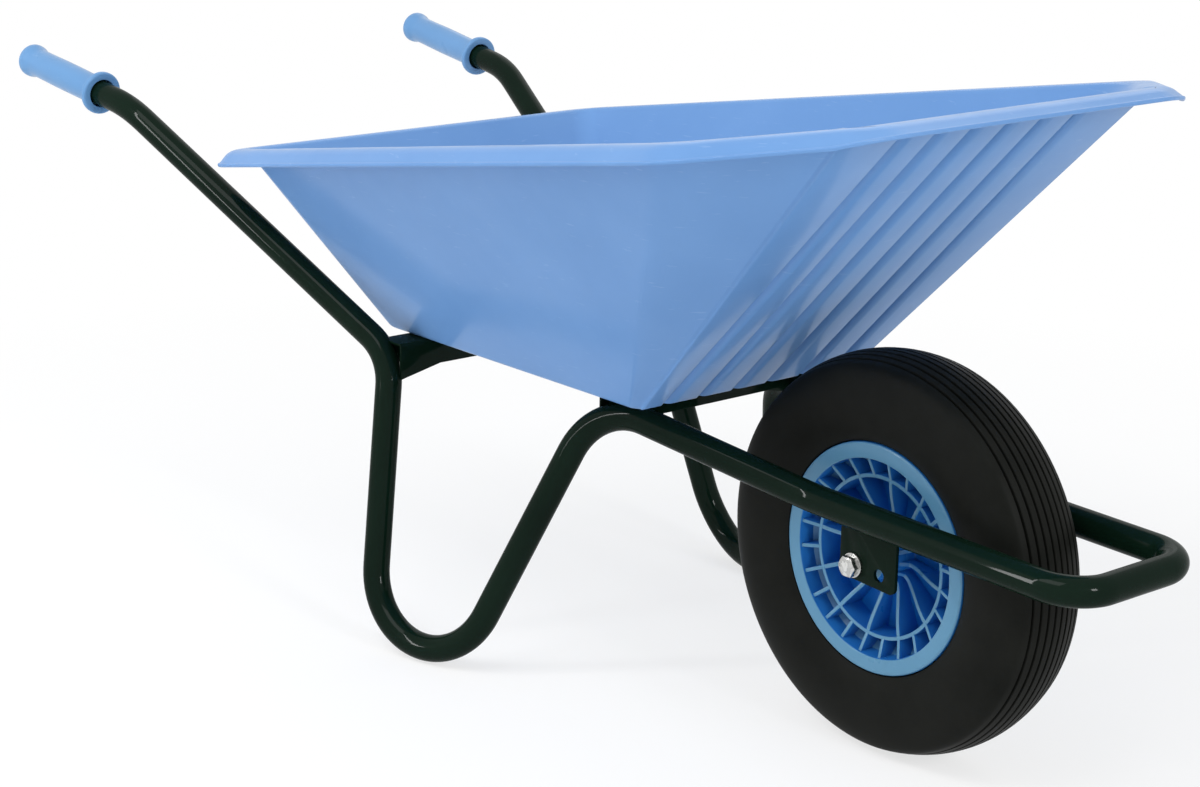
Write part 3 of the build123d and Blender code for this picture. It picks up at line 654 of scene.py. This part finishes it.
skin = bmesh.new()
floor_right = wall_outline(floor_rear, floor_shoulder, floor_fold, dip_width=4.5 * mm)
under_right = wall_outline(under_rear, under_shoulder, under_fold, dip_width=10 * mm)
floor_face = rounded_loop(skin, floor_right, rear_radius=22 * mm, shoulder_radius=6 * mm)
under_face = rounded_loop(skin, under_right, rear_radius=28 * mm, shoulder_radius=80 * mm)
flange_face = rounded_loop(skin, flange_right, rear_radius=43 * mm, shoulder_radius=46 * mm)
lip_face = rounded_loop(skin, lip_right, rear_radius=54 * mm, shoulder_radius=57 * mm)
tip_face = rounded_loop(skin, tip_right, rear_radius=59 * mm, shoulder_radius=61 * mm)
outlines = [face.edges[:] for face in (floor_face, under_face, flange_face, lip_face, tip_face)]
floor_edges, under_edges = outlines[:2]
bmesh.ops.delete(skin, geom=[under_face, flange_face, lip_face, tip_face], context="FACES_ONLY")
for inner, outer in zip(outlines, outlines[1:]):
    bmesh.ops.bridge_loops(skin, edges=inner + outer)
print("tray skin faces:", len(skin.faces), "points in an outline:", len(floor_edges))

# %% [markdown]
# Now the bends get their radii. The front corners of the lip are bevelled first, then the long bends
# round the floor, under the rim and along the lip. A bevel with a profile of 0.5 is a true arc, and its
# offset is the distance from the corner to the start of the arc.

# %% Round the bends
def bevel_edges(shape, edges, offset, segments):
    """Rounds a set of edges."""
    bmesh.ops.bevel(
        shape, geom=edges, offset=offset, offset_type="OFFSET", segments=segments, profile=0.5,
        affect="EDGES", material=-1, clamp_overlap=False)


def rim_height(point):
    """Height over the plane of the flange's underside."""
    return (point - axle_foot - under_rear).dot(rim_up)


def bend_angle(edge):
    """The angle between the two faces of an edge, or none at an open edge."""
    return edge.calc_face_angle() if len(edge.link_faces) == 2 else None


same_place = 0.1 * mm
near_corner = 16 * mm
lip_low, lip_high = -12.5 * mm, -1 * mm
rim_corners = [p + axle_foot for half in (flange_right, lip_right, tip_right) for p in mirrored(half[3:])]
at_corner = {v for v in skin.verts if any((v.co - p).length < same_place for p in rim_corners)}
in_outline = {e for edges in outlines for e in edges}
uprights = [e for e in skin.edges if e not in in_outline and all(v in at_corner for v in e.verts)]
bevel_edges(skin, uprights, offset=10 * mm, segments=6)
bmesh.ops.recalc_face_normals(skin, faces=skin.faces)
if min(skin.faces, key=lambda f: f.calc_center_median().z).normal.z > 0:
    bmesh.ops.reverse_faces(skin, faces=skin.faces)
skin.normal_update()
flange_corners = [p + axle_foot for p in mirrored(flange_right[3:])]
flat_lines = [
    e for e in skin.edges if bend_angle(e) is not None and bend_angle(e) < radians(1)
    and any((v.co - p).length < near_corner for v in e.verts for p in flange_corners)]
bmesh.ops.dissolve_edges(skin, edges=flat_lines)
flange_rolls = [
    e for e in skin.edges if e not in under_edges and bend_angle(e) is not None
    and bend_angle(e) > radians(15) and all(abs(rim_height(v.co)) < same_place for v in e.verts)]
lip_feet = [
    e for e in skin.edges
    if all(lip_low < rim_height(v.co) < lip_high and not v.is_boundary for v in e.verts)]
print("edges to bend:", len(floor_edges), len(under_edges), len(flange_rolls), len(lip_feet))
bevel_edges(skin, under_edges, offset=2 * mm, segments=3)
bevel_edges(skin, flange_rolls, offset=6 * mm, segments=5)
bevel_edges(skin, lip_feet, offset=1.6 * mm, segments=3)
bevel_edges(skin, floor_edges, offset=5 * mm, segments=5)
print("tray skin faces with bends:", len(skin.faces))

# %% [markdown]
# The raised front panel starts at a fold: a crease where it leaves the shoulder, then a ridge. Both are
# long straight edges, so they are easy to pick out, and each gets a small radius that catches a line of
# light.

# %% Round the crease and the ridge
skin.normal_update()
fold_lines = [
    e for e in skin.edges if bend_angle(e) is not None and bend_angle(e) > radians(20)
    and e.calc_length() > 200 * mm and max(v.co.x for v in e.verts) > axle_foot.x]
creases = [e for e in fold_lines if not e.is_convex]
ridges = [e for e in fold_lines if e.is_convex]
print("creases:", len(creases), "ridges:", len(ridges))
bevel_edges(skin, creases, offset=1.4 * mm, segments=2)
bevel_edges(skin, ridges, offset=2.2 * mm, segments=4)

# %% [markdown]
# ## The ribbed front panel
# Six grooves run up the front panel between broad ribs with rounded sides, which stiffen it. Across a
# groove the side of each rib is an arc that starts level with the panel and drops to the bottom. A few
# lines stand in for the arc: bisect_plane cuts them into the panel and into the bend below it, and then
# every point on a line is pushed back to the depth of that line. The grooves fade out under the rim.

# %% Cut the grooves
groove_count = 6
groove_pitch = 46.5 * mm
groove_mouth = 11.0 * mm
groove_bottom = 2.5 * mm
groove_depth = 7.0 * mm
first_turn = radians(12)
last_turn = 2 * atan2(groove_depth, groove_mouth - groove_bottom) - first_turn
rounding = groove_depth / (cos(first_turn) - cos(last_turn))
arc_steps = 6
profile = []
for step in range(arc_steps + 1):
    turn = first_turn + (last_turn - first_turn) * step / arc_steps
    across = groove_mouth + rounding * (sin(first_turn) - sin(turn))
    back = rounding * (cos(first_turn) - cos(turn)) / cos(front_lean)
    profile.append((across, back))
groove_middles = [groove_pitch * (i - (groove_count - 1) / 2) for i in range(groove_count)]
cuts = [
    (middle + side * across, back)
    for middle in groove_middles for side in (-1, 1) for across, back in profile]
panel_foot = floor_fold.x + panel_rise + axle_foot.x
panel_top, fade_start, fade_end = -12 * mm, -15 * mm, -8 * mm
bend_reach = 30 * mm
on_line = 0.01 * mm
print("lines to cut:", len(cuts), "rounding of a rib in mm:", round(rounding / mm, 2))


def panel_x(height):
    """Where the face of the front panel is at a height."""
    return panel_foot + (height - floor_fold.z) * tan(front_lean)


def on_panel(face):
    """True on the panel and on the bend between the panel and the floor."""
    middle = face.calc_center_median()
    in_front = abs(middle.y) < 1 * mm and middle.x > panel_foot - bend_reach
    return in_front and face.normal.x > 0.05 and rim_height(middle) < panel_top


def cut_faces(shape, faces, point, normal):
    """Cuts faces where a plane crosses them and returns all the faces after the cut."""
    parts = list({g for f in faces for g in (f, *f.edges, *f.verts)})
    cut = bmesh.ops.bisect_plane(shape, geom=parts, dist=0.001 * mm, plane_co=point, plane_no=normal)
    return [g for g in cut["geom"] if isinstance(g, bmesh.types.BMFace)]


skin.normal_update()
panel = [f for f in skin.faces if on_panel(f)]
print("panel faces:", len(panel))
for depth in (fade_start, fade_end):
    panel = cut_faces(skin, panel, axle_foot + under_rear + rim_up * depth, rim_up)
for line, back in cuts:
    panel = cut_faces(skin, panel, (0, line, 0), (0, 1, 0))
sunk = 0
for point in {v for f in panel for v in f.verts}:
    line, back = min(cuts, key=lambda cut: abs(cut[0] - point.co.y))
    limit = panel_x(point.co.z) - back
    in_groove = abs(line - point.co.y) < on_line and rim_height(point.co) < fade_end - 1 * mm
    if in_groove and point.co.x > limit:
        point.co.x = limit
        sunk += 1
print("panel faces after the cuts:", len(panel), "points pushed back:", sunk)

# %% [markdown]
# A Solidify modifier gives the skin its 4 mm, on the inside of the walls and the top of the flange, and
# a Bevel modifier takes the hard line off the edge of the lip. The open edge of the skin carries a bevel
# weight, which Solidify hands on to both edges of the rim that it makes, so only these are rounded. Both
# modifiers stay live, so the thickness can still be changed.

# %% Give the tray its thickness
bevel_weight = skin.edges.layers.float.new("bevel_weight_edge")
for edge in skin.edges:
    edge[bevel_weight] = 1.0 if edge.is_boundary else 0.0
print("edges of the lip to round:", sum(edge.is_boundary for edge in skin.edges))
tray = finish_piece("moulded_tray", skin, "chassis", ["tray"], tray_plastic, crisp=50)
lowest = min(tray.data.polygons, key=lambda p: p.center.z)
print("the floor's face looks down:", lowest.normal.z < 0)
thicken = tray.modifiers.new("wall", "SOLIDIFY")
thicken.thickness = wall
thicken.offset = -1 if lowest.normal.z < 0 else 1
thicken.use_even_offset = True
thicken.use_rim = True
soften = tray.modifiers.new("soft_edges", "BEVEL")
soften.width = 1.3 * mm
soften.segments = 3
soften.limit_method = "WEIGHT"
soften.use_clamp_overlap = False
print("tray modifiers:", [m.name for m in tray.modifiers])

# %% [markdown]
# ## The tyre
# The tyre's outline starts at the middle of the tread, steps into four grooves, rounds the shoulder,
# bulges down the sidewall to the rim, turns in under the flange as a bead and comes back along the
# inside. It is turned once, and mirror makes the other half, so the two sides can't differ.

# %% Turn the tyre
tyre_radius, crown_drop, tread_half = 197.5, 9.0, 39.0
tread_grooves, tread_depth = (4.3, 12.9, 21.5, 30.1), 3
roof_edge, roof_rise, roof_half = 177.5, 9.0, 33.5


def crown(along):
    """Radius of the tread at a distance from its middle."""
    return tyre_radius - crown_drop * (along / tread_half) ** 2


# Beside the middle of a groove come its flat bottom, its wall and its softened edge.
tread = [(crown(0), 0)]
for groove in tread_grooves:
    tread += [(crown(groove - 1.6), groove - 1.6), (crown(groove - 1.15) - 0.45, groove - 1.15)]
    tread += [(crown(groove) - tread_depth, groove - 0.95), (crown(groove) - tread_depth, groove + 0.95)]
    tread += [(crown(groove + 1.15) - 0.45, groove + 1.15), (crown(groove + 1.6), groove + 1.6)]
shoulder = curve((crown(35.5), 35.5), (crown(37.5), 38.2), (186.0, 40.6), (181.0, 42.4), 7)
flank = curve((181.0, 42.4), (166.0, 48.2), (133.0, 49.0), (115.5, 37.45), 18)
bead = [(115.5, 37.45), (114.15, 31.6), (101.65, 31.6), (101.65, 20.6), (108.65, 20.6)]
lining = curve((108.65, 20.6), (122.0, 43.0), (158.0, 46.0), (roof_edge, roof_half), 14)
lining += [(roof_edge, roof_half)]
roof = [(roof_edge + roof_rise * (1 - (y / roof_half) ** 2), y) for y in (25.0, 17.0, 8.0, 0.0)]
tyre_outline = tread + shoulder + flank + bead + lining + roof
print("tyre outline points:", len(tyre_outline))


def both_sides(shape):
    """Adds the mirror image across the wheel's middle plane."""
    everything = shape.verts[:] + shape.edges[:] + shape.faces[:]
    bmesh.ops.mirror(shape, geom=everything, axis="Y", merge_dist=0.01 * mm)
    bmesh.ops.remove_doubles(shape, verts=shape.verts, dist=merge_distance)
    return shape


def on_axle(shape):
    """Moves a shape drawn about the origin on to the axle."""
    bmesh.ops.translate(shape, verts=shape.verts, vec=axle)
    return shape


tyre_shape = on_axle(both_sides(turned(tyre_outline, steps=144)))
finish_piece("ribbed_tyre", tyre_shape, "wheel", ["tyre"], tyre_rubber, crisp=32)

# %% [markdown]
# ## The wheel centre
# The wheel centre is one moulding: a barrel with two flanges that hold the tyre, a thin web, a hub, and
# ribs that stiffen it. The barrel is turned like the tyre. A rib is a flat outline extruded to its
# thickness, and one of each kind is copied round the axle.

# %% Turn the barrel, web and hub
face_at = 38.95
barrel_outline = [
    (9, 0), (9, 44.7), (20, 44.7), (22, 2.5), (91, 2.5), (91, 14.5), (97.5, 20.75), (98, face_at),
    (112.5, face_at), (114, 37.45), (114, 33.25), (112.5, 31.75), (101.5, 31.75), (101.5, 19.25),
    (95, 13), (95, 0),
]
barrel_rounds = {1: 0.8, 2: 1.2, 3: 2.5, 4: 2.5, 7: 1.2, 8: 1.4, 9: 1.4}
wheel_shape = turned(barrel_outline, steps=120, rounds=barrel_rounds)
print("barrel faces:", len(wheel_shape.faces))


# %% Add the ring rib, vanes and pocket ribs
def add_ring(shape, outline, steps):
    """Adds a closed ring, spun from a small outline of (radius, along)."""
    points = [shape.verts.new((radius * mm, along * mm, 0)) for radius, along in outline]
    edges = [shape.edges.new(pair) for pair in zip(points, points[1:] + points[:1])]
    bmesh.ops.spin(
        shape, geom=points + edges, cent=(0, 0, 0), axis=(0, 1, 0), angle=2 * pi, steps=steps,
        use_merge=True)


def connected(start):
    """Every point joined to a start by edges."""
    reached, waiting = {start}, [start]
    while waiting:
        for edge in waiting.pop().link_edges:
            for other in edge.verts:
                if other not in reached:
                    reached.add(other)
                    waiting.append(other)
    return reached


def add_ribs(shape, outline, thickness, count, first, edge):
    """Adds flat ribs whose outline is (radius, along), copied round the axle from a first angle."""
    points = [shape.verts.new((radius * mm, along * mm, -thickness * mm / 2)) for radius, along in outline]
    plate = shape.faces.new(points)
    side = bmesh.ops.extrude_face_region(shape, geom=[plate], use_keep_orig=True)["geom"]
    bmesh.ops.translate(
        shape, verts=[g for g in side if isinstance(g, bmesh.types.BMVert)], vec=(0, 0, thickness * mm))
    whole = list({v for p in points for v in connected(p)})
    faces = list({f for v in whole for f in v.link_faces})
    bmesh.ops.recalc_face_normals(shape, faces=faces)
    rim = [e for e in {e for f in faces for e in f.edges} if e.calc_face_angle(0) > radians(60)]
    bevel_edges(shape, rim, offset=edge * mm, segments=2)
    shape.verts.ensure_lookup_table()
    whole = list(connected(shape.verts[-1]))
    parts = list(whole)
    parts += {e for v in whole for e in v.link_edges}
    parts += {f for v in whole for f in v.link_faces}
    turn = Matrix.Rotation(-radians(first), 4, "Y")
    bmesh.ops.transform(shape, verts=whole, matrix=turn)
    for index in range(1, count):
        copied = bmesh.ops.duplicate(shape, geom=parts)["geom"]
        bmesh.ops.rotate(
            shape, verts=[g for g in copied if isinstance(g, bmesh.types.BMVert)], cent=(0, 0, 0),
            matrix=Matrix.Rotation(-2 * pi * index / count, 3, "Y"))


ring_radius, ring_top, foot = 79.5, face_at - 9.5, 1.5
vane_outline = [(19, foot), (ring_radius, foot), (ring_radius, ring_top)]
vane_outline += curve(
    (ring_radius, ring_top), (66, face_at - 11.2), (52, face_at - 18), (42, face_at - 21.5), 7)
vane_outline += curve(
    (42, face_at - 21.5), (34, face_at - 24.5), (26, face_at - 26.5), (24.5, face_at - 22), 6)
vane_outline += [(21, face_at - 16), (19, face_at - 16)]
rib_outline = [(ring_radius, foot), (92, foot), (92, 15), (98.8, 21.5), (99.5, face_at - 2)]
rib_outline += [(ring_radius, ring_top)]
ring_outline = [(77.6, foot), (81.4, foot), (81.4, ring_top - 0.4), (81, ring_top)]
ring_outline += [(78, ring_top), (77.6, ring_top - 0.4)]
add_ring(wheel_shape, ring_outline, steps=120)
add_ribs(wheel_shape, vane_outline, thickness=4.2, count=12, first=22.5, edge=0.5)
add_ribs(wheel_shape, rib_outline, thickness=3.6, count=24, first=22.5, edge=0.45)
wheel_shape = on_axle(both_sides(wheel_shape))
finish_piece(
    "moulded_wheel_centre", wheel_shape, "wheel", ["wheel_rim"], wheel_plastic, crisp=35)

# %% [markdown]
# ## Pressed and turned steel
# Braces, brackets and fasteners already have the right shape as solids, but a solid's edges are
# perfectly sharp, and no real edge is. A copy of the solid has its doubled points merged and its flat
# triangles dissolved into whole faces, and then its sharp edges take a narrow bevel that catches light.

# %% Soften the edges of a solid
def softened(name, width, body, finish, sharpest=28):
    """A copy of a solid whose sharp edges are rounded by a narrow bevel."""
    shape = bmesh.new()
    shape.from_mesh(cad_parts[name].data)
    bmesh.ops.remove_doubles(shape, verts=shape.verts, dist=0.002 * mm)
    bmesh.ops.dissolve_limit(shape, angle_limit=radians(0.8), verts=shape.verts, edges=shape.edges)
    shape.normal_update()
    edges = [e for e in shape.edges if len(e.link_faces) == 2 and e.calc_face_angle() > radians(sharpest)]
    bmesh.ops.bevel(
        shape, geom=edges, offset=width * mm, segments=2, profile=0.5, affect="EDGES", material=-1,
        clamp_overlap=True)
    finish_piece("soft_" + name, shape, body, [name], finish, crisp=32)


for name in ("rear_cross_brace", "front_cross_brace", "right_axle_bracket", "left_axle_bracket"):
    softened(name, width=0.5, body="chassis", finish=frame_paint)
for name in ("tray_bolts", "tray_washers", "tray_nuts", "axle_bolt", "axle_nut", "axle_washers"):
    softened(name, width=0.25, body="chassis", finish=zinc)
for name in ("right_axle_spacer", "left_axle_spacer"):
    softened(name, width=0.3, body="chassis", finish=zinc)
for name in ("right_hub_bush", "left_hub_bush"):
    softened(name, width=0.3, body="wheel", finish=nylon)

# %% [markdown]
# ## What stays a solid
# The inner tube is shut inside the tyre, and the valve shows only from the far side. Their solids are
# fine as they are and only need a finish.

# %% Dress the remaining solids
for name, finish in (("inner_tube", tube_rubber), ("valve_stem", brass), ("valve_cap", cap_plastic)):
    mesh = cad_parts[name].data
    mesh.materials.clear()
    mesh.materials.append(finish)
    print(name, "wears", finish.name)

# %% [markdown]
# ## Bring the scene up to date
# The last cell brings the positions of all objects up to date.

# %% Update the scene
bpy.context.view_layer.update()
